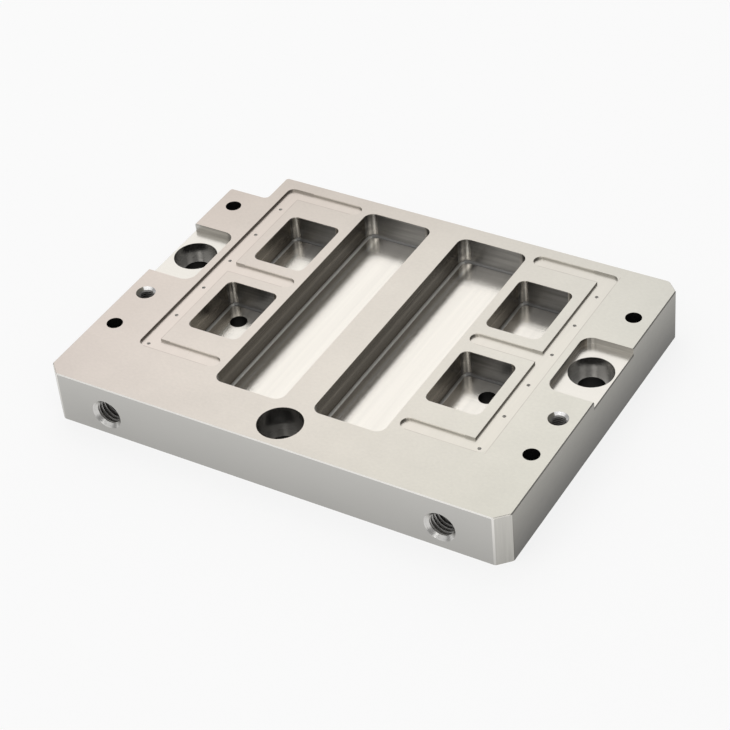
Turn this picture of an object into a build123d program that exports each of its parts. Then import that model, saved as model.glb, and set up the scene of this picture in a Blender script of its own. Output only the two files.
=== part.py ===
from build123d import *
import os

# Clamp base: one steel plate, milled and drilled from its top, front and sides.
# The origin lies under the middle of the plate, on its bottom face.
# +X runs along the long side, +Y to the notched back side and +Z up. Millimetres.
# A wall is the metal left between a feature and the named side of the plate.

# Plate
plate_length = 200.0
plate_width = 150.0
plate_thickness = 23.0
corner_cut = 5.0
corner_blend_radius = 1.6
top_edge_break = 0.4
bottom_edge_break = 0.3

# Notch that keys the plate, in its back left corner
notch_length = 18.0
notch_width = 16.3
notch_inner_radius = 2.0
notch_outer_radius = 1.4

# Small pockets, two in a row behind each other near each short side
small_pocket_side_wall = 35.0
small_pocket_front_wall = 46.4
small_pocket_width = 23.5
small_pocket_length = 32.0
small_pocket_gap = 16.6
small_pocket_corner_radius = 3.0

# Long pockets, one on each side of the middle web
web_thickness = 13.2
rib_thickness = 4.3
long_pocket_front_wall = 22.8
long_pocket_back_wall = 7.8
long_pocket_corner_radius = 4.0

# Finish of every pocket
pocket_depth = 11.5
pocket_floor_radius = 1.2

# Screw hole through the floor of each front small pocket
pocket_hole_diameter = 7.2
pocket_hole_outer_wall = 8.7
pocket_hole_back_wall = 9.5

# Shallow air channels, each a long run with three branches towards the middle
channel_side_wall = 23.5
channel_front_wall = 28.9
channel_back_wall = 5.8
channel_width = 7.0
channel_depth = 1.0
channel_corner_radius = 3.0
branch_width = 6.3
branch_tip_wall = 3.0

# Row of air holes in each channel, down to a gallery drilled from the front
air_hole_diameter = 1.5
air_hole_pitch = 19.66
air_hole_end_wall = 2.8
gallery_diameter = 8.0
gallery_height = 10.0
gallery_overrun = 4.0

# Tapped mouth of each gallery, with its bore at the thread's major diameter
port_thread_diameter = 12.0
port_thread_depth = 16.0
port_countersink_diameter = 13.0

# Holes along the short sides: plain ones near the corners, a tapped one between
edge_hole_side_wall = 8.0
corner_hole_diameter = 6.6
front_corner_hole_inset = 35.8
back_corner_hole_inset = 27.0
tapped_hole_inset = 57.6
tapped_hole_diameter = 6.0
tapped_hole_countersink_diameter = 8.0

# Recess in each short side, open to the side
recess_front_wall = 71.2
recess_length = 34.5
recess_inset = 20.3
recess_depth = 3.2
recess_corner_radius = 5.0

# Seats for the fixing screws: one in each recess, one in the middle of the front
screw_hole_diameter = 11.0
screw_seat_diameter = 18.0
side_screw_inset = 10.2
side_screw_front_wall = 18.8
side_screw_seat_depth = 6.8
front_screw_inset = 12.0
front_screw_seat_depth = 11.0

countersink_angle = 90

left = -plate_length / 2
front = -plate_width / 2
back = plate_width / 2
top = Plane.XY.offset(plate_thickness)
face = Plane.XZ.offset(-front)

small_pocket_x = left + small_pocket_side_wall + small_pocket_width / 2
small_pocket_pitch = small_pocket_length + small_pocket_gap
front_pocket_y = front + small_pocket_front_wall + small_pocket_length / 2
back_pocket_y = front_pocket_y + small_pocket_pitch

long_pocket_outer_x = left + small_pocket_side_wall + small_pocket_width + rib_thickness
long_pocket_width = -web_thickness / 2 - long_pocket_outer_x
long_pocket_length = plate_width - long_pocket_front_wall - long_pocket_back_wall
long_pocket_x = long_pocket_outer_x + long_pocket_width / 2
long_pocket_y = front + long_pocket_front_wall + long_pocket_length / 2

channel_x = left + channel_side_wall + channel_width / 2
channel_front_y = front + channel_front_wall
channel_back_y = back - channel_back_wall
channel_length = channel_back_y - channel_front_y
branch_tip_x = long_pocket_outer_x - branch_tip_wall
branch_ys = [
    channel_front_y + branch_width / 2,
    (front_pocket_y + back_pocket_y) / 2,
    channel_back_y - branch_width / 2,
]

air_hole_count = int((channel_length - 2 * air_hole_end_wall) // air_hole_pitch) + 1
air_hole_ys = [channel_front_y + air_hole_end_wall + n * air_hole_pitch for n in range(air_hole_count)]
gallery_depth = air_hole_ys[-1] + gallery_overrun - front

edge_hole_x = left + edge_hole_side_wall
corner_hole_ys = [front + front_corner_hole_inset, back - back_corner_hole_inset]
recess_y = front + recess_front_wall + recess_length / 2
recess_floor_z = plate_thickness - recess_depth
side_screw_y = front + recess_front_wall + side_screw_front_wall


def both_sides(x, *ys, z=plate_thickness):
    """Gives places on the left and their mirror images on the right."""
    return [(sign * x, y, z) for sign in (1, -1) for y in ys]


with BuildPart() as clamp_base:
    # Outline, with three corners cut and the fourth notched
    with BuildSketch() as outline:
        Rectangle(plate_length, plate_width)
        for corner in [(left, front), (-left, front), (-left, back)]:
            chamfer(outline.vertices().sort_by_distance(corner)[0], length=corner_cut)
            fillet(outline.vertices().sort_by_distance(corner)[:2], radius=corner_blend_radius)
        with Locations((left, back)):
            Rectangle(notch_length, notch_width, align=(Align.MIN, Align.MAX), mode=Mode.SUBTRACT)
        notch_x = left + notch_length
        notch_y = back - notch_width
        fillet(outline.vertices().sort_by_distance((notch_x, notch_y))[0], radius=notch_inner_radius)
        for corner in [(notch_x, back), (left, notch_y)]:
            fillet(outline.vertices().sort_by_distance(corner)[0], radius=notch_outer_radius)
    extrude(amount=plate_thickness)
    chamfer(clamp_base.faces().sort_by(Axis.Z)[-1].edges(), length=top_edge_break)
    chamfer(clamp_base.faces().sort_by(Axis.Z)[0].edges(), length=bottom_edge_break)

    # Pockets, with the mill's radius in their corners and round their floors
    with BuildSketch(top):
        with Locations((long_pocket_x, long_pocket_y), (-long_pocket_x, long_pocket_y)):
            RectangleRounded(long_pocket_width, long_pocket_length, long_pocket_corner_radius)
        with Locations(both_sides(small_pocket_x, front_pocket_y, back_pocket_y, z=0)):
            RectangleRounded(small_pocket_width, small_pocket_length, small_pocket_corner_radius)
    extrude(amount=-pocket_depth, mode=Mode.SUBTRACT)
    fillet(clamp_base.edges(Select.LAST).group_by(Axis.Z)[0], radius=pocket_floor_radius)

    # Recesses, open to the short sides, with rounded inner corners
    with BuildSketch(top):
        with Locations((left, recess_y), (-left, recess_y)):
            RectangleRounded(2 * recess_inset, recess_length, recess_corner_radius)
    extrude(amount=-recess_depth, mode=Mode.SUBTRACT)
    recess_edges = clamp_base.edges(Select.LAST).group_by(Axis.Z)[0].filter_by(Axis.Y).sort_by(Axis.X)
    chamfer([recess_edges[0], recess_edges[-1]], length=top_edge_break)

    # Air channels: the long run has round outer corners and each branch a round tip
    with BuildSketch(top) as channels:
        with Locations((channel_x, (channel_front_y + channel_back_y) / 2)):
            Rectangle(channel_width, channel_length)
        fillet(channels.vertices().group_by(Axis.X)[0], radius=channel_corner_radius)
        for branch_y in branch_ys:
            branch_straight = branch_tip_x - branch_width / 2 - channel_x
            with Locations((channel_x, branch_y)):
                Rectangle(branch_straight, branch_width, align=(Align.MIN, Align.CENTER))
            with Locations((channel_x + branch_straight, branch_y)):
                Circle(branch_width / 2)
        mirror(about=Plane.YZ)
    extrude(amount=-channel_depth, mode=Mode.SUBTRACT)

    # Galleries from the front face, tapped at the mouth, and the air holes above them
    with Locations(face):
        with Locations((channel_x, gallery_height), (-channel_x, gallery_height)):
            Hole(gallery_diameter / 2, depth=gallery_depth)
            CounterSinkHole(
                port_thread_diameter / 2,
                port_countersink_diameter / 2,
                depth=port_thread_depth,
                counter_sink_angle=countersink_angle,
            )
    with Locations(both_sides(channel_x, *air_hole_ys)):
        Hole(air_hole_diameter / 2, depth=plate_thickness - gallery_height)

    # Plain and tapped holes along the short sides, right through
    with Locations(both_sides(edge_hole_x, *corner_hole_ys)):
        Hole(corner_hole_diameter / 2)
    with Locations(both_sides(edge_hole_x, front + tapped_hole_inset)):
        CounterSinkHole(
            tapped_hole_diameter / 2,
            tapped_hole_countersink_diameter / 2,
            counter_sink_angle=countersink_angle,
        )

    # Screw hole in the back outer part of each front small pocket's floor
    pocket_hole_x = left + small_pocket_side_wall + pocket_hole_outer_wall
    pocket_hole_y = front_pocket_y + small_pocket_length / 2 - pocket_hole_back_wall
    with Locations(both_sides(pocket_hole_x, pocket_hole_y)):
        Hole(pocket_hole_diameter / 2)

    # Fixing screws: their heads sink into the recesses and into the front of the top
    with Locations(both_sides(left + side_screw_inset, side_screw_y, z=recess_floor_z)):
        CounterBoreHole(screw_hole_diameter / 2, screw_seat_diameter / 2, side_screw_seat_depth)
    with Locations((0, front + front_screw_inset, plate_thickness)):
        CounterBoreHole(screw_hole_diameter / 2, screw_seat_diameter / 2, front_screw_seat_depth)

clamp_base.part.label = "clamp_base"
os.makedirs("parts", exist_ok=True)
export_step(clamp_base.part, "parts/clamp_base.step")
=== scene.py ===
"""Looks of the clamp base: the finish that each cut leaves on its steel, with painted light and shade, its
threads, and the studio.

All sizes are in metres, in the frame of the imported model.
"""

import logging
import math
from dataclasses import dataclass
from enum import Enum
from typing import Any, Optional, Union

import bpy
from mathutils import Matrix, Vector


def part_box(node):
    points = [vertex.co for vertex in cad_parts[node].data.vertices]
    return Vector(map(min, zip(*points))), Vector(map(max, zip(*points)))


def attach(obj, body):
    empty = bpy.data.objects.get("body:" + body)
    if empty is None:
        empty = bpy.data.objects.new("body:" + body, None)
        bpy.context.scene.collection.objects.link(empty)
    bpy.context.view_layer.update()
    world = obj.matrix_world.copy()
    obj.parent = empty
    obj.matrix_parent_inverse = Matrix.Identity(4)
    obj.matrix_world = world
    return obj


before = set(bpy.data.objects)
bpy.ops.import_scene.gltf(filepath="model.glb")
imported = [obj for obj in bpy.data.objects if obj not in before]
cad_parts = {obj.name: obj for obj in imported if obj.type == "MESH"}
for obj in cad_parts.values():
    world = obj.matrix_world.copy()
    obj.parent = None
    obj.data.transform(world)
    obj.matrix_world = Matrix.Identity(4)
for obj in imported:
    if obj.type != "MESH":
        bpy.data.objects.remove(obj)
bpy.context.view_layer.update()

log = logging.getLogger("clamp_base")
Point = tuple[float, float, float]
Colour = tuple[float, float, float]
Pair = tuple[float, float]
Spot = Pair
Box = tuple[Spot, Spot]

MM = 0.001
# Heights and radii that differ by less than this count as the same.
NEAR = 0.1 * MM
# How far a face looks up or down: less than UPRIGHT on a wall, and more than LEVEL on a floor.
UPRIGHT = 0.3
LEVEL = 0.99
# A face that looks further than this along an axis is square to it.
SQUARE = 0.95
# A wall looks along both X and Y, with a product over this, where it goes round a corner.
TURNED = 0.08
# Noise is this on average.
NOISE_MIDDLE = 0.5
# Finer layers in the noise.
GRAIN_DETAIL = 2.0
WHITE = (1.0, 1.0, 1.0, 1.0)
# Points of a mesh that are closer than this are one.
WELD = 1e-6
SMOOTH_ANGLE = math.radians(25.0)


class Wire:
    """One output socket of a material, for shader maths written as Python sums."""

    def __init__(self, paint: "Paint", socket: bpy.types.NodeSocket) -> None:
        """Keeps the socket and the material that it is in."""
        self.paint = paint
        self.socket = socket

    def _sum(self, operation: str, first: "Input", second: "Input") -> "Wire":
        """Adds one Math node.

        Args:
            operation: Name of the Math node's operation.
            first: Its first value or link.
            second: Its second value or link.

        Returns:
            The node's result.
        """
        return self.paint.wire("ShaderNodeMath", {"operation": operation}, {0: first, 1: second})

    def __add__(self, other: "Input") -> "Wire":
        """Returns self + other."""
        return self._sum("ADD", self, other)

    def __radd__(self, other: "Input") -> "Wire":
        """Returns other + self."""
        return self._sum("ADD", other, self)

    def __sub__(self, other: "Input") -> "Wire":
        """Returns self - other."""
        return self._sum("SUBTRACT", self, other)

    def __rsub__(self, other: "Input") -> "Wire":
        """Returns other - self."""
        return self._sum("SUBTRACT", other, self)

    def __mul__(self, other: "Input") -> "Wire":
        """Returns self * other, which is also how two masks overlap."""
        return self._sum("MULTIPLY", self, other)

    def __gt__(self, other: "Input") -> "Wire":
        """Returns a mask that is 1 where self is larger."""
        return self._sum("GREATER_THAN", self, other)

    def __lt__(self, other: "Input") -> "Wire":
        """Returns a mask that is 1 where self is smaller."""
        return self._sum("LESS_THAN", self, other)

    def __or__(self, other: "Input") -> "Wire":
        """Returns the larger of the two, which joins two masks."""
        return self._sum("MAXIMUM", self, other)

    def __abs__(self) -> "Wire":
        """Returns self without its sign."""
        return self._sum("ABSOLUTE", self, 0.0)


Input = Union[Wire, float, int, tuple]


class Paint:
    """A material whose nodes are added around its Principled shader."""

    def __init__(self, name: str) -> None:
        """Makes the material.

        Args:
            name: Name of the material.
        """
        self.material = bpy.data.materials.new(name)
        self.material.use_nodes = True
        self.nodes = self.material.node_tree.nodes
        self.links = self.material.node_tree.links
        self.shader = self.nodes["Principled BSDF"]

    def node(
        self,
        kind: str,
        settings: Optional[dict[str, Any]] = None,
        inputs: Optional[dict[Union[str, int], Input]] = None,
    ) -> bpy.types.Node:
        """Adds one node.

        Args:
            kind: The node's type.
            settings: Its own settings, set first.
            inputs: Values or links of its sockets, by name or number.

        Returns:
            The node.
        """
        made = self.nodes.new(kind)
        for name, setting in (settings or {}).items():
            setattr(made, name, setting)
        for name, given in (inputs or {}).items():
            self.feed(made.inputs[name], given)
        return made

    def feed(self, socket: bpy.types.NodeSocket, given: Input) -> None:
        """Sets a socket's value, or links it where the input is a wire.

        Args:
            socket: The socket.
            given: Its value or link.
        """
        if isinstance(given, Wire):
            self.links.new(given.socket, socket)
        else:
            socket.default_value = given

    def wire(
        self,
        kind: str,
        settings: Optional[dict[str, Any]] = None,
        inputs: Optional[dict[Union[str, int], Input]] = None,
        output: Union[str, int] = 0,
    ) -> Wire:
        """Adds one node and returns one of its outputs, by name or number."""
        return Wire(self, self.node(kind, settings, inputs).outputs[output])

    def axes(self, vector: Wire) -> tuple[Wire, Wire, Wire]:
        """Splits a vector into its three numbers."""
        parts = self.node("ShaderNodeSeparateXYZ", inputs={0: vector})
        return tuple(Wire(self, parts.outputs[axis]) for axis in range(3))

    def blend(self, factor: Wire, first: Wire, second: Wire) -> Wire:
        """Mixes two colours by a factor, of which 0 gives the first and 1 the second."""
        settings = {"data_type": "RGBA", "clamp_factor": True}
        return self.wire("ShaderNodeMix", settings, {0: factor, 6: first, 7: second}, output=2)

    def scale(self, colour: Input, amount: Input) -> Wire:
        """Makes a colour lighter or darker by a factor."""
        return self.wire("ShaderNodeVectorMath", {"operation": "SCALE"}, {0: colour, "Scale": amount})

    def tint(self, colour: Wire, amounts: Wire) -> Wire:
        """Multiplies red, green and blue by a factor each."""
        return self.wire("ShaderNodeVectorMath", {"operation": "MULTIPLY"}, {0: colour, 1: amounts})

    def grain(self, place: Wire, marks: Point) -> Wire:
        """Adds noise that is drawn out along the tool's path.

        Args:
            place: Object coordinates.
            marks: Marks in each metre along X, Y and Z.

        Returns:
            Noise of about 0.3 to 0.7.
        """
        stretched = self.wire("ShaderNodeMapping", inputs={"Vector": place, "Scale": marks})
        return self.wire(
            "ShaderNodeTexNoise",
            inputs={"Vector": stretched, "Scale": 1.0, "Detail": GRAIN_DETAIL},
            output="Fac",
        )


@dataclass(frozen=True)
class Marks:
    """Marks that a tool leaves, drawn out along its path.

    Args:
        density: Marks in each metre along X, Y and Z.
        shade: How much they vary the tone.
        streak: How much they vary the roughness.
        depth: Their height.
    """

    density: Point
    shade: float
    streak: float
    depth: float = 0.0


@dataclass(frozen=True)
class Finish:
    """What one kind of cut leaves on the steel; many finishes also hold painted light and shade in their
    tone.

    Args:
        colour: Tone of the bare metal.
        roughness: How far it blurs what it mirrors.
        marks: The fine and the broad marks of the tool.
        lean: Slope that the tool's scallops leave along X and Y.
        rise: Painted light and shade: how much lighter the tone gets in each metre of height, from the
            middle of the plate.
    """

    colour: Colour
    roughness: float
    marks: tuple[Marks, ...]
    lean: Pair = (0.0, 0.0)
    rise: float = 0.0


GROUND_TOP = Finish(
    (0.665, 0.621, 0.561),
    0.36,
    (Marks((700.0, 900.0, 700.0), 0.12, 0.06, 0.6e-6), Marks((60.0, 60.0, 60.0), 0.12, 0.04)),
)
CHANNEL_FLOOR = Finish(
    (0.70, 0.647, 0.585),
    0.30,
    (Marks((900.0, 80.0, 900.0), 0.07, 0.08, 0.8e-6), Marks((200.0, 30.0, 200.0), 0.08, 0.04)),
)
RECESS_FLOOR = Finish(
    (0.765, 0.735, 0.68),
    0.24,
    (Marks((90.0, 1500.0, 90.0), 0.03, 0.04, 1.2e-6), Marks((30.0, 260.0, 30.0), 0.05, 0.04)),
)
POCKET_FLOOR = Finish(
    (0.82, 0.785, 0.725),
    0.17,
    (Marks((60.0, 5000.0, 60.0), 0.02, 0.03, 20.0e-6), Marks((420.0, 9.0, 420.0), 0.14, 0.04)),
    lean=(-0.012, 0.022),
)
# The pockets' walls are lit and shaded copies of one milled finish: side walls darker with painted shade,
# end walls lighter, corners lighter still with a painted highlight, the small pockets' corners a darker
# copy, a painted highlight on the radius under the side walls and painted shade on the one under the end
# walls. End walls and corners get lighter towards the bottom, and the radius under the end walls lighter
# upwards.
SIDE_WALL = Finish(
    (0.187, 0.169, 0.144),
    0.26,
    (Marks((40.0, 40.0, 5000.0), 0.05, 0.05, 30.0e-6), Marks((25.0, 25.0, 380.0), 0.35, 0.06)),
)
END_WALL = Finish(
    (0.455, 0.451, 0.445),
    0.34,
    (Marks((40.0, 40.0, 5000.0), 0.05, 0.05, 20.0e-6), Marks((45.0, 25.0, 700.0), 0.60, 0.08)),
    rise=-40.0,
)
CORNER_WALL = Finish((0.66, 0.64, 0.605), 0.26, (Marks((25.0, 25.0, 600.0), 0.25, 0.05),), rise=-62.0)
SMALL_CORNER = Finish((0.40, 0.385, 0.36), 0.26, (Marks((25.0, 25.0, 600.0), 0.25, 0.05),))
SIDE_FILLET = Finish((0.46, 0.45, 0.425), 0.50, (Marks((60.0, 300.0, 60.0), 0.12, 0.05),))
END_FILLET = Finish((0.19, 0.187, 0.181), 0.60, (Marks((300.0, 60.0, 60.0), 0.12, 0.05),), rise=1400.0)
SHALLOW_WALL = Finish(
    (0.56, 0.55, 0.52),
    0.30,
    (Marks((60.0, 60.0, 1400.0), 0.10, 0.06, 1.2e-6), Marks((60.0, 60.0, 700.0), 0.45, 0.05)),
)
# Painted light: the recesses' side walls are dark under their top edges and lighter towards their floors.
RECESS_SIDE = Finish(
    (0.98, 0.90, 0.78),
    0.28,
    (Marks((60.0, 60.0, 1400.0), 0.05, 0.05, 1.2e-6), Marks((25.0, 25.0, 500.0), 0.25, 0.05)),
    rise=-81.0,
)
RECESS_END = Finish(
    (0.45, 0.438, 0.413),
    0.30,
    (Marks((60.0, 60.0, 1400.0), 0.10, 0.06, 1.2e-6), Marks((30.0, 30.0, 900.0), 0.90, 0.05)),
)
# Painted shade in the counterbores: their walls get darker towards the bottom, and the front one's floor
# is a darker copy of the side one's.
BORED_SEAT = Finish(
    (0.325, 0.318, 0.307),
    0.22,
    (Marks((60.0, 60.0, 5000.0), 0.10, 0.05, 20.0e-6), Marks((40.0, 40.0, 500.0), 0.20, 0.05)),
    rise=40.0,
)
SEAT_FLOOR = Finish((0.60, 0.59, 0.565), 0.26, (Marks((300.0, 300.0, 300.0), 0.12, 0.05),))
FRONT_SEAT_FLOOR = Finish((0.26, 0.254, 0.243), 0.30, (Marks((300.0, 300.0, 300.0), 0.12, 0.05),))
PORT_THREAD = Finish((0.55, 0.54, 0.52), 0.38, (Marks((900.0, 900.0, 900.0), 0.20, 0.05),))
PORT_MOUTH = Finish((0.66, 0.65, 0.63), 0.28, (Marks((500.0, 500.0, 500.0), 0.08, 0.05),))
# Painted shade: the ports' bores, the tapped holes' threads and mouths and the drilled holes are dark
# copies of the steel, for the shade inside them; the air holes are a light copy with painted light.
PORT_BORE = Finish((0.26, 0.25, 0.235), 0.50, (Marks((60.0, 1600.0, 60.0), 0.10, 0.05, 1.0e-6),))
HOLE_THREAD = Finish((0.22, 0.215, 0.205), 0.36, (Marks((900.0, 900.0, 900.0), 0.20, 0.05),))
DRILLED_HOLE = Finish((0.05, 0.048, 0.045), 0.55, (Marks((60.0, 60.0, 1600.0), 0.10, 0.05, 1.0e-6),))
AIR_HOLE = Finish((0.92, 0.91, 0.89), 0.70, (Marks((900.0, 900.0, 900.0), 0.20, 0.05),))
# The countersinks are a light copy of the steel with painted light, and a dark copy with painted shade on
# the side whose faces look along shade_way.
COUNTERSINK = Finish((0.92, 0.91, 0.90), 0.26, (Marks((500.0, 500.0, 500.0), 0.05, 0.05, 0.5e-6),))
COUNTERSINK_SHADE = Finish((0.26, 0.25, 0.215), 0.30, (Marks((500.0, 500.0, 500.0), 0.05, 0.05, 0.5e-6),))
# The outline's sides are lit and shaded copies of one finish: all darker towards the bottom with painted
# shade, the short sides a darker copy with painted shade, the rounded corners and broken edges lighter
# with a painted highlight, and the short sides' broken edges darker with painted shade.
LONG_SIDE = Finish(
    (0.492, 0.484, 0.462),
    0.38,
    (Marks((120.0, 120.0, 1600.0), 0.03, 0.05, 0.6e-6), Marks((50.0, 50.0, 60.0), 0.06, 0.04)),
    rise=9.0,
)
SHORT_SIDE = Finish(
    (0.208, 0.2015, 0.183),
    0.36,
    (Marks((120.0, 120.0, 1600.0), 0.08, 0.05, 0.8e-6), Marks((160.0, 160.0, 300.0), 0.20, 0.04)),
    rise=45.0,
)
CORNER_CUT = Finish(
    (0.52, 0.508, 0.475),
    0.36,
    (Marks((1400.0, 1400.0, 40.0), 0.25, 0.05), Marks((260.0, 260.0, 20.0), 0.16, 0.04)),
    rise=12.0,
)
CORNER_BLEND = Finish((0.70, 0.685, 0.655), 0.40, (Marks((1400.0, 1400.0, 40.0), 0.10, 0.05),), rise=18.0)
EDGE_BREAK = Finish(
    (0.96, 0.94, 0.90),
    0.40,
    (Marks((700.0, 700.0, 700.0), 0.06, 0.08, 0.5e-6), Marks((90.0, 90.0, 90.0), 0.08, 0.05)),
)
CORNER_BREAK = Finish((0.96, 0.94, 0.90), 0.85, (Marks((700.0, 700.0, 700.0), 0.06, 0.05),))
SIDE_BREAK = Finish(
    (0.36, 0.345, 0.32),
    0.36,
    (Marks((700.0, 700.0, 700.0), 0.06, 0.08, 0.5e-6), Marks((40.0, 90.0, 40.0), 0.30, 0.05)),
)
# Painted shade: a darker line on the top along the channels' edges.
CHANNEL_RIM_SHADE = Finish((0.58, 0.53, 0.48), 0.40, (Marks((200.0, 200.0, 200.0), 0.30, 0.05),))


class Site:
    """Where a point of the plate lies and which way its face looks, as sockets.

    Across, along and up tell how far a face looks along X, Y and Z, in either direction.
    Sideways and endways mark the faces that look more along X, and all others.
    """

    def __init__(self, paint: Paint) -> None:
        """Reads the plate's own coordinates.

        Args:
            paint: The material.
        """
        self.place = paint.wire("ShaderNodeTexCoord", output="Object")
        self.x, self.y, self.z = paint.axes(self.place)
        self.side = abs(self.x)
        self.facing = paint.axes(paint.wire("ShaderNodeTexCoord", output="Normal"))
        self.across, self.along, self.up = (abs(part) for part in self.facing)
        self.level = self.up > LEVEL
        self.upright = self.up < UPRIGHT
        self.sloped = (self.up > UPRIGHT) * (self.up < SQUARE)
        self.sideways = self.across > self.along
        self.endways = 1 - self.sideways
        self.turned = self.across * self.along

    def hole(self, centre: Spot, radius: float, below: float) -> Wire:
        """Marks an upright hole on both sides of the middle.

        Args:
            centre: Its X on the right and its Y.
            radius: Radius of what is marked.
            below: Height under which it is marked.

        Returns:
            The mask.
        """
        right = self.side - centre[0]
        back = self.y - centre[1]
        return (right * right + back * back < radius**2) * (self.z < below)

    def port(self, axis: Spot, radius: float) -> Wire:
        """Marks what lies round the axis of the two ports.

        Args:
            axis: Its X on the right and its Z.
            radius: Radius of what is marked.

        Returns:
            The mask.
        """
        right = self.side - axis[0]
        rise = self.z - axis[1]
        return right * right + rise * rise < radius**2

    def box(self, low: Spot, high: Spot) -> Wire:
        """Marks an upright box on both sides of the middle, from its least and most X and Y."""
        return (self.side > low[0]) * (self.side < high[0]) * (self.y > low[1]) * (self.y < high[1])


@dataclass(frozen=True)
class PaintedReflection:
    """A painted reflection on the pockets' floors: a faint lighter line for what they mirror of the walls,
    with painted shade where its strength is below 0.

    Args:
        middle: X of its middle.
        strength: How much lighter it is there.
        reach: How far it fades to each side.
    """

    middle: float
    strength: float
    reach: float


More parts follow.
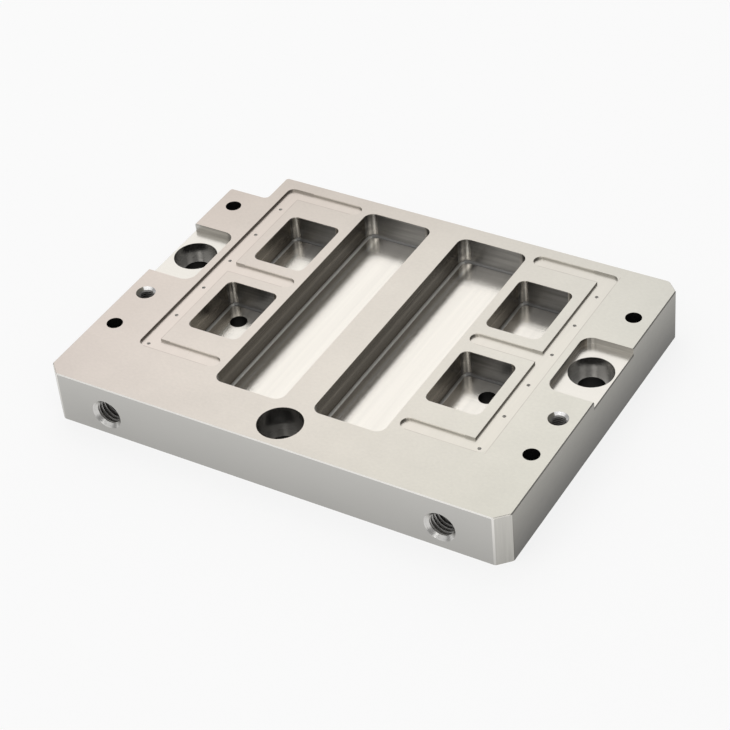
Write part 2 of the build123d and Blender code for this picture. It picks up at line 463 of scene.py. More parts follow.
@dataclass(frozen=True)
class SteelCoat:
    """The plate's one material: each face shows the finish of the tool that cut it, with painted light and
    shade in its tone.

    Args:
        top: Height of the ground top.
        half_length: Half the plate's length.
        half_width: Half the plate's width.
        corner_cut: Leg of the cut corners.
        cut_turned: How far a face is turned where the finish of those corners begins, and where it
            replaces that of their rounded edges.
        notch: Inner corner of the notch in the back left corner.
        skin: How far inside the outline a face still counts as a side.
        pocket_floor: Height of the pockets' floors.
        fillet_radius: Radius round those floors.
        side_fillet_up: How far up a face looks where that radius begins, under the side walls.
        end_fillet_up: The same under the end walls.
        recess_floor: Height of the recesses' floors.
        small_pockets: Least and most X and Y of the two small pockets on the right.
        long_pocket: The same of the long pocket on the right.
        recess_x: Where the recesses begin, from the middle.
        channel_x: Where the channels' branches begin, from the middle.
        channel_run: Inner and outer side of the channels' long runs.
        channel_depth: Depth of the channels.
        channel_corner: Radius of their outer corners.
        branches: Least and most Y of their branches, from the front.
        branch_end: Where the straight part of the branches ends.
        rim_shade_width: Width of the painted shade line on their edges.
        air_hole_radius: Radius of the air holes.
        air_holes_end: Most Y at which there is an air hole.
        side_seat: Centre of the counterbore in the right recess.
        front_seat: Centre of the counterbore in the front.
        seat_radius: Radius of the counterbores.
        screw_radius: Radius of the holes under them.
        seat_floors: Height of the counterbores' floors, at the side and in front.
        corner_holes: Centres of the plain holes on the right.
        corner_hole_radius: Their radius.
        tapped_hole: Centre of the tapped hole on the right.
        tapped_rim: Radius of its countersink.
        tapped_radius: Radius of its thread.
        shade_way: Direction in which the painted shade on its countersink faces.
        shade_from: How far a face looks in that direction where the painted shade begins.
        pocket_hole: Centre of the hole in the front small pocket's floor.
        pocket_hole_radius: Its radius.
        port: X and Z of the right port.
        port_rim: Radius of its countersink.
        pass_height: Height of the line where two passes of the mill meet on the pockets' side walls.
        pass_reach: How far that line fades up and down.
        pass_glow: How much lighter it is.
        walls_start: Least Y of the pockets' walls.
        edge_band: Height of the painted highlight under their top edges.
        edge_glow: How much lighter it is, and how much more so on the small pockets' side walls.
        small_shade: Painted shade in the small pockets, how much darker they are, with painted light where
            it is below 0: their end
        walls, floors, side walls and the radius under those.
        painted_reflections: The painted reflections on the pockets' floors.
        back_shade: Painted shade: how much darker the floors get towards their back walls.
        back_reach: How far from those walls that begins.
        tint: How the colour of the top drifts from its middle to its right end.
        twist: How much more it drifts so at the back.
        crown: Painted light: how much lighter the top is in its middle.
        bow: Painted shade: how much darker it gets towards its ends, and towards its front and back.
        fall: Painted shade: how much darker it gets from its middle to its back.
    """

    top: float
    half_length: float
    half_width: float
    corner_cut: float = 5.0 * MM
    cut_turned: Pair = (0.2, 0.46)
    notch: Spot = (-82.0 * MM, 58.7 * MM)
    skin: float = 0.45 * MM
    pocket_floor: float = 11.5 * MM
    fillet_radius: float = 1.2 * MM
    side_fillet_up: float = 0.35
    end_fillet_up: float = 0.05
    recess_floor: float = 19.8 * MM
    small_pockets: tuple[Box, Box] = (
        ((41.3 * MM, -28.8 * MM), (65.2 * MM, 3.6 * MM)),
        ((41.3 * MM, 19.8 * MM), (65.2 * MM, 52.2 * MM)),
    )
    long_pocket: Box = ((6.6 * MM, -52.2 * MM), (37.2 * MM, 67.2 * MM))
    recess_x: float = 78.0 * MM
    channel_x: float = 39.5 * MM
    channel_run: Pair = (69.5 * MM, 76.5 * MM)
    channel_depth: float = 1.0 * MM
    channel_corner: float = 3.0 * MM
    branches: tuple[Pair, ...] = (
        (-46.1 * MM, -39.8 * MM),
        (8.55 * MM, 14.85 * MM),
        (62.9 * MM, 69.2 * MM),
    )
    branch_end: float = 43.4 * MM
    rim_shade_width: float = 0.35 * MM
    air_hole_radius: float = 0.75 * MM
    air_holes_end: float = 60.0 * MM
    side_seat: Spot = (89.8 * MM, 15.0 * MM)
    front_seat: Spot = (0.0, -63.0 * MM)
    seat_radius: float = 9.0 * MM
    screw_radius: float = 5.5 * MM
    seat_floors: Pair = (13.0 * MM, 12.0 * MM)
    corner_holes: tuple[Spot, Spot] = ((92.0 * MM, -39.2 * MM), (92.0 * MM, 48.0 * MM))
    corner_hole_radius: float = 3.3 * MM
    tapped_hole: Spot = (92.0 * MM, -17.4 * MM)
    tapped_rim: float = 4.0 * MM
    tapped_radius: float = 3.0 * MM
    shade_way: Pair = (0.83, 0.55)
    shade_from: float = 0.2
    pocket_hole: Spot = (56.3 * MM, -6.1 * MM)
    pocket_hole_radius: float = 3.6 * MM
    port: Spot = (73.0 * MM, 10.0 * MM)
    port_rim: float = 6.5 * MM
    pass_height: float = 17.7 * MM
    pass_reach: float = 1.3 * MM
    pass_glow: float = 0.5
    walls_start: float = -52.5 * MM
    edge_band: float = 0.45 * MM
    edge_glow: Pair = (0.6, 1.4)
    small_shade: tuple[float, float, float, float] = (0.36, 0.05, -0.55, 0.28)
    painted_reflections: tuple[PaintedReflection, ...] = (
        PaintedReflection(-33.2 * MM, 0.5, 1.6 * MM),
        PaintedReflection(10.6 * MM, 0.5, 1.6 * MM),
        PaintedReflection(12.6 * MM, -0.33, 1.6 * MM),
        PaintedReflection(-58.5 * MM, 0.4, 3.0 * MM),
        PaintedReflection(48.0 * MM, 0.2, 3.0 * MM),
    )
    back_shade: float = 0.56
    back_reach: float = 9.5 * MM
    tint: Colour = (0.014, 0.057, 0.052)
    twist: Colour = (0.028, 0.031, 0.040)
    crown: float = 0.037
    bow: Pair = (0.05, 0.08)
    fall: float = 0.023

    def dress(self, node: bpy.types.Object) -> bpy.types.Material:
        """Builds the material and gives it to the plate.

        Args:
            node: The plate's CAD object.

        Returns:
            The material.
        """
        paint = Paint("machined_steel")
        site = Site(paint)
        colour, roughness, height = self._lay(paint, site, SIDE_WALL)
        for finish, mask in self.zones(site):
            over = self._lay(paint, site, finish)
            colour = paint.blend(mask, colour, over[0])
            roughness = roughness + mask * (over[1] - roughness)
            height = height + mask * (over[2] - height)
        small = self._small(site) * (site.z > self.pocket_floor - NEAR) * (site.z < self.top - NEAR)
        # The side walls' lighter pass line, the painted highlight under the walls' top edges, the painted
        # reflections and painted shade on the floors, and the small pockets' painted shade and light.
        glow = self._wall_glow(site, small) + self._painted_floor_light(site)
        colour = paint.scale(colour, 1 + glow - small * self._shade(site))
        # Painted light on the top: lighter in its middle, darker towards its ends, front and back.
        surface = site.level * (site.z > self.recess_floor + NEAR)
        colour = paint.scale(colour, 1 + self._painted_top_light(site) * surface)
        colour = paint.tint(colour, self._drift(paint, site, surface))
        paint.feed(paint.shader.inputs["Base Color"], colour)
        paint.feed(paint.shader.inputs["Roughness"], roughness)
        paint.feed(paint.shader.inputs["Metallic"], 1.0)
        bump = paint.wire(
            "ShaderNodeBump", inputs={"Strength": 1.0, "Distance": 1.0, "Height": height}, output="Normal"
        )
        paint.feed(paint.shader.inputs["Normal"], bump)
        for slot in node.material_slots:
            slot.material = paint.material
        return paint.material

    def zones(self, site: Site) -> list[tuple[Finish, Wire]]:
        """Works out where each finish shows.

        Args:
            site: The plate's coordinates.

        Returns:
            Finishes and their masks over the pockets' side walls, each over the ones before it.
        """
        return [
            *self._pocket_zones(site),
            *self._hole_zones(site),
            *self._side_zones(site),
            *self._mouth_zones(site),
            (GROUND_TOP, site.level * ((site.z > self.top - NEAR) | (site.z < NEAR))),
            # Painted shade along the channels' edges.
            (CHANNEL_RIM_SHADE, site.level * (site.z > self.top - NEAR) * self._rim_shade(site)),
        ]

    def _pocket_zones(self, site: Site) -> list[tuple[Finish, Wire]]:
        """Works out the finishes of all walls and floors of pockets, recesses and channels.

        Args:
            site: The plate's coordinates.

        Returns:
            Finishes and their masks.
        """
        small = self._small(site)
        cornered = (site.turned > TURNED) * site.upright
        low = (site.up < LEVEL) * (site.z < self.pocket_floor + self.fillet_radius)
        shallow = (site.side > self.channel_x) * (1 - small) * (site.z > self.recess_floor - NEAR)
        recess = shallow * site.upright * (site.side > self.recess_x)
        # The walls' finishes are lit and shaded copies of one milled finish, with painted light and shade.
        return [
            (END_WALL, site.endways),
            (CORNER_WALL, cornered),
            (SMALL_CORNER, cornered * small),
            (SIDE_FILLET, low * (site.up > self.side_fillet_up) * site.sideways),
            (END_FILLET, low * (site.up > self.end_fillet_up) * site.endways),
            (SHALLOW_WALL, shallow * site.upright * site.endways),
            (RECESS_SIDE, recess * site.sideways),
            (RECESS_END, recess * site.endways),
            (POCKET_FLOOR, site.level),
            (RECESS_FLOOR, site.level * (site.z > self.recess_floor - NEAR)),
            (CHANNEL_FLOOR, site.level * (site.z > self.recess_floor + NEAR)),
        ]

    def _hole_zones(self, site: Site) -> list[tuple[Finish, Wire]]:
        """Works out the finishes inside the counterbores, holes and ports.

        Args:
            site: The plate's coordinates.

        Returns:
            Finishes and their masks.
        """
        seats = site.hole(self.side_seat, self.seat_radius + NEAR, self.recess_floor - NEAR)
        seats = seats | site.hole(self.front_seat, self.seat_radius + NEAR, self.top - NEAR)
        drilled: Input = 0.0
        for centre, radius, rim in (
            (self.side_seat, self.screw_radius, self.seat_floors[0]),
            (self.front_seat, self.screw_radius, self.seat_floors[1]),
            *((centre, self.corner_hole_radius, self.top) for centre in self.corner_holes),
            (self.tapped_hole, self.tapped_radius, self.top),
            (self.pocket_hole, self.pocket_hole_radius, self.pocket_floor),
        ):
            drilled = site.hole(centre, radius + NEAR, rim - NEAR) | drilled
        air = (abs(site.side - self.port[0]) < self.air_hole_radius + NEAR) * site.upright
        air = air * (abs(site.y) < self.air_holes_end) * (site.z < self.top - self.channel_depth - NEAR)
        ports, front = self._ports(site)
        # Dark copies of the steel paint the shade in the counterbores, holes and ports; a light copy
        # paints light into the air holes.
        return [
            (BORED_SEAT, seats),
            (SEAT_FLOOR, seats * site.level),
            (FRONT_SEAT_FLOOR, seats * site.level * (site.side < self.seat_radius + NEAR)),
            (DRILLED_HOLE, drilled),
            (AIR_HOLE, air),
            (PORT_BORE, ports * (1 - front)),
        ]

    def _side_zones(self, site: Site) -> list[tuple[Finish, Wire]]:
        """Works out the finishes of the outline's sides and of their broken edges.

        Args:
            site: The plate's coordinates.

        Returns:
            Finishes and their masks.
        """
        long_way = abs(site.y) > self.half_width - self.skin
        short_way = site.side > self.half_length - self.skin
        corner = site.side + abs(site.y) > self.half_length + self.half_width - self.corner_cut - self.skin
        notch = (site.x < self.notch[0] + self.skin) * (site.y > self.notch[1] - self.skin)
        outside = long_way | short_way | corner | notch
        rounded = (site.turned > TURNED) * (site.turned < self.cut_turned[1])
        # Lit and shaded copies of the sides' finish, with painted highlights and painted shade.
        return [
            (LONG_SIDE, outside * site.upright),
            (CORNER_CUT, corner * site.upright * (site.turned > self.cut_turned[0])),
            (SHORT_SIDE, short_way * site.upright * (site.across > SQUARE)),
            (CORNER_BLEND, outside * rounded * site.upright * site.endways),
            (EDGE_BREAK, outside * site.sloped),
            (CORNER_BREAK, corner * site.sloped),
            (SIDE_BREAK, short_way * site.sloped * site.sideways),
        ]

    def _mouth_zones(self, site: Site) -> list[tuple[Finish, Wire]]:
        """Works out the finishes of the countersinks.

        Args:
            site: The plate's coordinates.

        Returns:
            Finishes and their masks.
        """
        sunk = site.hole(self.tapped_hole, self.tapped_rim + NEAR, self.top) * site.sloped
        shaded = site.facing[0] * self.shade_way[0] + site.facing[1] * self.shade_way[1] > self.shade_from
        ports, front = self._ports(site)
        # A light copy of the countersinks' steel, with painted shade on one side.
        return [
            (COUNTERSINK, sunk),
            (COUNTERSINK_SHADE, sunk * shaded),
            (PORT_MOUTH, ports * front * (site.along < SQUARE)),
        ]

    def _small(self, site: Site) -> Wire:
        """Marks the small pockets."""
        return site.box(*self.small_pockets[0]) | site.box(*self.small_pockets[1])

    def _ports(self, site: Site) -> tuple[Wire, Wire]:
        """Marks what lies in or behind the ports, and the skin of the front face."""
        return site.port(self.port, self.port_rim + NEAR), site.y < -self.half_width + self.skin + NEAR

    def _rim_shade(self, site: Site) -> Wire:
        """Marks a painted shade line on the edges where the channels' walls face away from the front
        right.

        Args:
            site: The plate's coordinates.

        Returns:
            The mask.
        """
        inner, outer = self.channel_run
        reach = self.rim_shade_width
        ends = self.branches
        runs = (site.y > ends[0][0]) * (site.y < ends[-1][1])
        for low, high in ends[1:-1]:
            runs = runs * ((site.x > 0.0) | (site.y < low) | (site.y > high))
        lines = (site.x > outer) * (site.x < outer + reach)
        lines = (lines | (site.x > -inner) * (site.x < reach - inner)) * runs
        across = (site.side > self.branch_end) * (site.side < outer - self.channel_corner)
        for low, _ in ends:
            lines = lines | across * (site.y > low - reach) * (site.y < low)
        return lines

    def _wall_glow(self, site: Site, small: Wire) -> Wire:
        """Works out the lighter line along the pockets' side walls, and the painted highlight under their
        top edges.

        Args:
            site: The plate's coordinates.
            small: Mask of the small pockets.

        Returns:
            How much lighter each place is.
        """
        line = (1 - abs(site.z - self.pass_height) * (1 / self.pass_reach)) | 0.0
        walls = (site.side < self.small_pockets[0][1][0]) * site.upright * (site.y > self.walls_start)
        walls = walls * (site.y < self.half_width - self.skin)
        # A painted highlight under the walls' top edges.
        edges = (site.z > self.top - self.edge_band) * walls
        glow = line * walls * site.sideways * self.pass_glow
        return glow + edges * (self.edge_glow[0] + small * site.sideways * self.edge_glow[1])

    def _painted_floor_light(self, site: Site) -> Wire:
        """Works out the painted reflections on the pockets' floors, and the painted shade before their
        back walls.

        Args:
            site: The plate's coordinates.

        Returns:
            How much lighter each place is.
        """
        glow: Input = 0.0
        # Painted reflections along the floors, and painted shade where a strength is below 0.
        for painted_line in self.painted_reflections:
            line = (1 - abs(site.x - painted_line.middle) * (1 / painted_line.reach)) | 0.0
            glow = line * painted_line.strength + glow
        # Painted shade on the floors before their back walls.
        for low, high in (*self.small_pockets, self.long_pocket):
            nearness = (1 - (high[1] - site.y) * (1 / self.back_reach)) | 0.0
            glow = glow - nearness * site.box(low, high) * self.back_shade
        return glow * site.level * (abs(site.z - self.pocket_floor) < NEAR)

    def _shade(self, site: Site) -> Wire:
        """Works out the painted shade on the faces of the small pockets, and the painted light on their
        side walls.

        Args:
            site: The plate's coordinates.

        Returns:
            How much darker each place is.
        """
        # Painted shade on the small pockets' end walls, floors and the radius under their side walls, and
        # painted light on their side walls.
        ends, floors, sides, fillets = self.small_shade
        straight = (site.turned < TURNED) * (1 - site.level)
        curved = (site.up > self.side_fillet_up) * (site.up < LEVEL)
        shade = site.endways * straight * ends + site.level * floors
        return shade + site.sideways * straight * ((1 - curved) * sides + curved * fillets)

    def _painted_top_light(self, site: Site) -> Wire:
        """Works out the painted light of the top: lighter in its middle than at its edges."""
        right, back = self._spread(site)
        return self.crown - right * right * self.bow[0] - back * back * self.bow[1] - back * self.fall

    def _drift(self, paint: Paint, site: Site, surface: Wire) -> Wire:
        """Works out how the top's colour drifts across the plate.

        Args:
            paint: The material.
            site: The plate's coordinates.
            surface: Mask of the top and of the channels' floors.

        Returns:
            The factors of red, green and blue.
        """
        right, back = self._spread(site)
        drifts = enumerate(zip(self.tint, self.twist))
        factors = {axis: 1 + right * surface * (back * more + part) for axis, (part, more) in drifts}
        return paint.wire("ShaderNodeCombineXYZ", inputs=factors)

    def _spread(self, site: Site) -> tuple[Wire, Wire]:
        """Gives X and Y as parts of half the length and half the width."""
        return site.x * (1 / self.half_length), site.y * (1 / self.half_width)

    def _lay(self, paint: Paint, site: Site, finish: Finish) -> tuple[Wire, Wire, Wire]:
        """Works out one finish.

        Args:
            paint: The material.
            site: The plate's coordinates.
            finish: The finish.

        Returns:
            Its colour, roughness and height.
        """
        # Painted light and shade that changes with height.
        tone = 1 + (site.z - self.top / 2) * finish.rise
        roughness: Input = finish.roughness
        height = site.x * finish.lean[0] + site.y * finish.lean[1]
        for marks in finish.marks:
            noise = paint.grain(site.place, marks.density)
            tone = tone + (noise - NOISE_MIDDLE) * marks.shade
            roughness = roughness + (noise - NOISE_MIDDLE) * marks.streak
            height = height + noise * marks.depth
        return paint.scale(finish.colour, tone), roughness, height


def edit_all() -> None:
    """Opens the active object for editing, with all of it selected."""
    bpy.ops.object.mode_set(mode="EDIT")
    bpy.ops.mesh.select_all(action="SELECT")


@dataclass(frozen=True)
class Thread:
    """A standard inside thread, with 60 degree flanks.

    Args:
        major: Radius at the roots.
        minor: Radius at the crests.
        pitch: Step of one turn.
        root: Width of the ridge at its root, in pitches.
        crest: Width of its crest, in pitches.
        sunk: How far the roots reach into the plate, so that no slit shows.
        steps: Straight runs in one turn.
    """

    major: float
    minor: float
    pitch: float
    root: float = 7 / 8
    crest: float = 1 / 4
    sunk: float = 0.05 * MM
    steps: int = 48


M12 = Thread(6.0 * MM, 5.053 * MM, 1.75 * MM)
M6 = Thread(3.0 * MM, 2.459 * MM, 1.0 * MM)


@dataclass
class TappedHole:
    """The turns of one thread, cut back by the countersink at its mouth.

    Args:
        name: Name of the piece.
        thread: The thread in it.
        mouth: Middle of the countersink's rim.
        lean: Turn about X that points the hole's axis out of its mouth, from +Z.
        rim: Radius of the countersink's rim.
        reach: Depth at which the thread ends.
    """

    name: str
    thread: Thread
    mouth: Point
    lean: float
    rim: float
    reach: float

    def build(self) -> bpy.types.Object:
        """Models the turns about the Z axis, with the mouth at Z = 0, and puts them in place.

        Returns:
            The finished piece.
        """
        cut = self.thread
        piece = self._ridge()
        turns = math.ceil(self.reach / cut.pitch) + 2
        self._sweep(piece, cut.steps, screw_offset=cut.pitch, iterations=turns, use_merge_vertices=False)
        for height, way in ((-self.reach, -1.0), (cut.minor - self.rim, 1.0)):
            bpy.ops.mesh.select_all(action="SELECT")
            bpy.ops.mesh.bisect(plane_co=(0.0, 0.0, height), plane_no=(0.0, 0.0, way), clear_outer=True)
        bpy.ops.mesh.select_all(action="SELECT")
        bpy.ops.mesh.fill_holes(sides=0)
        return self._place(piece)

    def _ridge(self) -> bpy.types.Object:
        """Models the outline of one turn's ridge, one pitch below the end of the thread.

        Returns:
            The outline, four edges without a face.
        """
        cut = self.thread
        rise = cut.major + cut.sunk - cut.minor
        bpy.ops.object.select_all(action="DESELECT")
        bpy.ops.mesh.primitive_plane_add(size=1.0, location=(0.0, 0.0, 0.0))
        piece = bpy.context.active_object
        piece.name = self.name
        edit_all()
        bpy.ops.transform.resize(value=(rise, cut.root * cut.pitch, 1.0))
        bpy.ops.transform.translate(value=(cut.minor + rise / 2, 0.0, 0.0))
        bpy.ops.object.mode_set(mode="OBJECT")
        piece.rotation_euler = (math.pi / 2, 0.0, 0.0)
        bpy.ops.object.transform_apply(location=True, rotation=True, scale=True)
        for vertex in piece.data.vertices:
            if vertex.co.x < cut.minor + rise / 2:
                vertex.co.z *= cut.crest / cut.root
        edit_all()
        bpy.ops.mesh.delete(type="ONLY_FACE")
        bpy.ops.mesh.select_all(action="SELECT")
        bpy.ops.transform.translate(value=(0.0, 0.0, -self.reach - cut.pitch))
        bpy.ops.object.mode_set(mode="OBJECT")
        return piece

    def build_mouth(self) -> bpy.types.Object:
        """Models the lower face of the countersink, from the bore's rim to the thread's crests.

        Returns:
            The finished piece, a closed ring.
        """
        cut = self.thread
        root = cut.major + cut.sunk
        corners = (
            (root, 0.0, root - self.rim - cut.sunk / 2),
            (cut.minor, 0.0, cut.minor - self.rim),
            (root, 0.0, cut.minor - self.rim - cut.pitch / 2),
        )
        bpy.ops.object.select_all(action="DESELECT")
        bpy.ops.mesh.primitive_circle_add(vertices=len(corners), radius=cut.major)
        piece = bpy.context.active_object
        piece.name = self.name.replace("thread", "mouth")
        for vertex, corner in zip(piece.data.vertices, corners):
            vertex.co = corner
        self._sweep(piece, 2 * cut.steps, use_merge_vertices=True, merge_threshold=WELD)
        return self._place(piece)

    def _place(self, piece: bpy.types.Object) -> bpy.types.Object:
        """Turns the faces of a piece in edit mode outwards, and puts it into its hole.

        Args:
            piece: The piece, about the Z axis.

        Returns:
            The finished piece.
        """
        bpy.ops.mesh.select_all(action="SELECT")
        bpy.ops.mesh.normals_make_consistent(inside=False)
        bpy.ops.object.mode_set(mode="OBJECT")
        piece.rotation_euler = (self.lean, 0.0, 0.0)
        piece.location = self.mouth
        bpy.ops.object.select_all(action="DESELECT")
        piece.select_set(True)
        bpy.context.view_layer.objects.active = piece
        bpy.ops.object.transform_apply(location=True, rotation=True, scale=True)
        bpy.ops.object.shade_smooth_by_angle(angle=SMOOTH_ANGLE)
        return piece

    def copy_to(self, piece: bpy.types.Object, name: str, mouth: Point) -> bpy.types.Object:
        """Copies the finished piece to another hole with the same axis.

        Args:
            piece: The finished piece.
            name: Name of the copy.
            mouth: Middle of the other countersink's rim.

        Returns:
            The copy, with a mesh of its own.
        """
        twin = piece.copy()
        twin.data = piece.data.copy()
        twin.name = name
        bpy.context.scene.collection.objects.link(twin)
        twin.data.transform(Matrix.Translation(Vector(mouth) - Vector(self.mouth)))
        return twin

    def _sweep(self, piece: bpy.types.Object, steps: int, **settings: Any) -> None:
        """Sweeps an outline about the Z axis, and opens it for editing with all of it selected.

        Args:
            piece: The outline.
            steps: Straight runs in one turn.
            settings: Further settings of the Screw modifier.
        """
        bpy.context.view_layer.objects.active = piece
        screw = piece.modifiers.new("screw", "SCREW")
        for name, setting in {"axis": "Z", "steps": steps, "render_steps": steps, **settings}.items():
            setattr(screw, name, setting)
        bpy.ops.object.modifier_apply(modifier=screw.name)
        edit_all()


@dataclass
class Threads:
    """The four threads of the plate: two ports in the front and two tapped holes in the top.

    Args:
        front: Y of the front face.
        top: Z of the ground top.
        port_x: Distance of the ports from the middle.
        port_z: Height of the ports' axis.
        port_rim: Radius of a port's countersink.
        port_reach: Depth of a port's thread.
        hole_x: Distance of the tapped holes from the middle.
        hole_y: Y of the tapped holes.
        hole_rim: Radius of a tapped hole's countersink.
        hole_floor: How far above the underside a tapped hole's thread ends.
    """

    front: float
    top: float
    port_x: float = 73.0 * MM
    port_z: float = 10.0 * MM
    port_rim: float = 6.5 * MM
    port_reach: float = 15.9 * MM
    hole_x: float = 92.0 * MM
    hole_y: float = -17.4 * MM
    hole_rim: float = 4.0 * MM
    hole_floor: float = 0.2 * MM

    def build(self) -> list[bpy.types.Object]:
        """Models one thread of each kind with its mouth, and copies them to the other side.

        Returns:
            The four threads, then the four mouths, with those of the ports first.
        """
        port = TappedHole(
            "left_port_thread",
            M12,
            (-self.port_x, self.front, self.port_z),
            math.pi / 2,
            self.port_rim,
            self.port_reach,
        )
        hole = TappedHole(
            "left_tapped_thread",
            M6,
            (-self.hole_x, self.hole_y, self.top),
            0.0,
            self.hole_rim,
            self.top - self.hole_floor,
        )
        turns: list[bpy.types.Object] = []
        mouths: list[bpy.types.Object] = []
        for tapped, other in (
            (port, (self.port_x, self.front, self.port_z)),
            (hole, (self.hole_x, self.hole_y, self.top)),
        ):
            for pieces, made in ((turns, tapped.build()), (mouths, tapped.build_mouth())):
                pieces += [made, tapped.copy_to(made, made.name.replace("left", "right"), other)]
        return turns + mouths

    def dress(self, pieces: list[bpy.types.Object], finish: Finish, name: str) -> None:
        """Gives the turns of some threads their finish.

        Args:
            pieces: The pieces.
            finish: What the tap left on them, and in the tapped holes painted shade.
            name: Name of the material.
        """
        paint = Paint(name)
        marks = finish.marks[0]
        place = paint.wire("ShaderNodeTexCoord", output="Object")
        noise = paint.grain(place, marks.density) - NOISE_MIDDLE
        paint.feed(paint.shader.inputs["Base Color"], paint.scale(finish.colour, 1 + noise * marks.shade))
        paint.feed(paint.shader.inputs["Roughness"], finish.roughness + noise * marks.streak)
        paint.feed(paint.shader.inputs["Metallic"], 1.0)
        for piece in pieces:
            piece.data.materials.append(paint.material)


@dataclass(frozen=True)
class Softbox:
    """A square lamp that faces the plate.

    Args:
        size: Length of its sides.
        radiance: How bright it looks, where 1 is white.
        place: Where its middle hangs.
    """

    size: float
    radiance: float
    place: Point


class Lamp(Enum):
    """The lamps of the studio."""

    WINDOW = Softbox(3.2, 0.78, (-0.98, 1.84, 2.16))
    OVERHEAD = Softbox(4.0, 0.65, (0.0, -0.3, 3.0))
    FRONT_LEFT = Softbox(2.4, 0.45, (-1.29, -1.95, 1.89))
    FRONT = Softbox(0.9, 1.4, (0.56, -2.26, 1.89))
    RIGHT = Softbox(1.2, 0.5, (2.19, -0.80, 1.89))


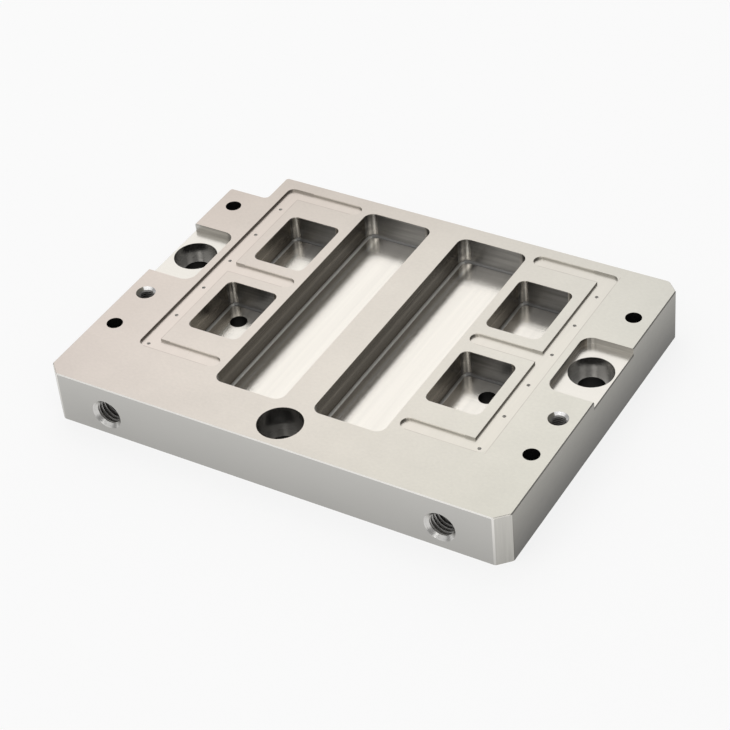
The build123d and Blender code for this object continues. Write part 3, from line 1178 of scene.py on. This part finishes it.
@dataclass
class Studio:
    """A pale floor, the soft lamps, a grey room and the camera of the photograph.

    Args:
        room: Brightness of the room around.
        floor_size: Length of the floor's sides.
        floor_tone: Tone of the floor.
        floor_lift: How much of the floor's brightness doesn't depend on the lamps.
        floor_gap: How far it lies under the plate, so that the two don't share one plane.
        focal_pixels: Focal length in pixels of the photograph.
        frame_pixels: Width of the photograph in pixels.
        azimuth: Degrees from the front to the camera, round to the right.
        elevation: Degrees from the floor up to the camera.
        roll: Degrees that the camera is turned about its own axis.
        aim: Point in the middle of the picture.
        distance: How far the camera stands from that point.
        sensor: Width of the camera's sensor in millimetres.
        near_clip: How close to the camera a thing may come.
    """

    room: float = 0.35
    floor_size: float = 12.0
    floor_tone: float = 0.95
    floor_lift: float = 0.80
    floor_gap: float = 0.02 * MM
    focal_pixels: float = 2207.969
    frame_pixels: float = 730.0
    azimuth: float = 33.711
    elevation: float = 39.093
    roll: float = 5.741
    aim: Point = (-3.827 * MM, 2.989 * MM, 0.2 * MM)
    distance: float = 876.47 * MM
    sensor: float = 36.0
    near_clip: float = 10.0 * MM

    def shoot(self) -> bpy.types.Object:
        """Sets up the camera at the photograph's viewing angle.

        Returns:
            The camera.
        """
        turn, rise, roll = (math.radians(part) for part in (self.azimuth, self.elevation, self.roll))
        back = Vector((math.sin(turn) * math.cos(rise), -math.cos(turn) * math.cos(rise), math.sin(rise)))
        level = Vector((math.cos(turn), math.sin(turn), 0.0))
        down = (-back).cross(level)
        right = math.cos(roll) * level + math.sin(roll) * down
        down = math.cos(roll) * down - math.sin(roll) * level
        matrix = Matrix((right, -down, back)).transposed().to_4x4()
        matrix.translation = Vector(self.aim) + back * self.distance
        lens = bpy.data.cameras.new("camera")
        lens.sensor_width = self.sensor
        lens.lens = self.focal_pixels * self.sensor / self.frame_pixels
        lens.clip_start = self.near_clip
        camera = bpy.data.objects.new("camera", lens)
        camera.matrix_world = matrix
        bpy.context.scene.collection.objects.link(camera)
        bpy.context.scene.camera = camera
        return camera

    def lay_floor(self) -> bpy.types.Object:
        """Lays the floor, which shows pale to the camera and in the metal, and keeps the plate's shadow.

        A camera under it looks through it at the plate's underside.

        Returns:
            The floor.
        """
        bpy.ops.object.select_all(action="DESELECT")
        bpy.ops.mesh.primitive_plane_add(size=self.floor_size, location=(0.0, 0.0, -self.floor_gap))
        floor = bpy.context.active_object
        floor.name = "floor"
        paint = Paint("pale_floor")
        tone = (self.floor_tone, self.floor_tone, self.floor_tone, 1.0)
        matt = paint.node("ShaderNodeBsdfDiffuse", inputs={"Color": tone})
        glow = paint.node("ShaderNodeEmission", inputs={"Color": WHITE, "Strength": 1.0})
        rays = paint.node("ShaderNodeLightPath").outputs
        camera = Wire(paint, rays["Is Camera Ray"])
        seen = camera | Wire(paint, rays["Is Glossy Ray"]) | Wire(paint, rays["Is Transmission Ray"])
        lit = paint.node("ShaderNodeMixShader", inputs={0: seen * self.floor_lift})
        paint.links.new(matt.outputs[0], lit.inputs[1])
        paint.links.new(glow.outputs[0], lit.inputs[2])
        below = paint.wire("ShaderNodeNewGeometry", output="Backfacing")
        clear = paint.node("ShaderNodeBsdfTransparent")
        mix = paint.node("ShaderNodeMixShader", inputs={0: camera * below})
        paint.links.new(lit.outputs[0], mix.inputs[1])
        paint.links.new(clear.outputs[0], mix.inputs[2])
        paint.links.new(mix.outputs[0], paint.nodes["Material Output"].inputs["Surface"])
        floor.data.materials.append(paint.material)
        return floor

    def light(self) -> None:
        """Hangs the lamps, sets the brightness of the room and keeps the picture's tones plain."""
        for lamp in Lamp:
            box = lamp.value
            data = bpy.data.lights.new(lamp.name.lower(), "AREA")
            data.shape = "SQUARE"
            data.size = box.size
            data.energy = box.radiance * math.pi * box.size**2
            shade = bpy.data.objects.new(lamp.name.lower(), data)
            shade.location = box.place
            shade.rotation_euler = (-Vector(box.place)).to_track_quat("-Z", "Y").to_euler()
            shade.visible_camera = False
            bpy.context.scene.collection.objects.link(shade)
        world = bpy.data.worlds.new("room")
        world.use_nodes = True
        back = world.node_tree.nodes["Background"]
        back.inputs["Color"].default_value = WHITE
        back.inputs["Strength"].default_value = self.room
        bpy.context.scene.world = world
        bpy.context.scene.view_settings.view_transform = "Standard"


def main() -> None:
    """Dresses the plate, adds its threads, and sets up the studio."""
    logging.basicConfig(level=logging.INFO)
    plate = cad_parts["clamp_base"]
    low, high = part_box("clamp_base")
    coat = SteelCoat(high.z, high.x, high.y)
    coat.dress(plate)
    log.info("clamp_base dressed in machined steel")
    threads = Threads(low.y, high.z)
    pieces = threads.build()
    # The tapped holes' threads and mouths get HOLE_THREAD, a dark copy of the steel with painted shade.
    threads.dress(pieces[:2], PORT_THREAD, "port_thread")
    threads.dress(pieces[2:4], HOLE_THREAD, "hole_thread")
    threads.dress(pieces[4:6], PORT_MOUTH, "port_mouth")
    threads.dress(pieces[6:], HOLE_THREAD, "hole_mouth")
    for piece in pieces:
        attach(piece, "root")
        log.info("%s: %d faces", piece.name, len(piece.data.polygons))
    studio = Studio()
    studio.lay_floor()
    studio.light()
    studio.shoot()


if __name__ == "__main__":
    main()
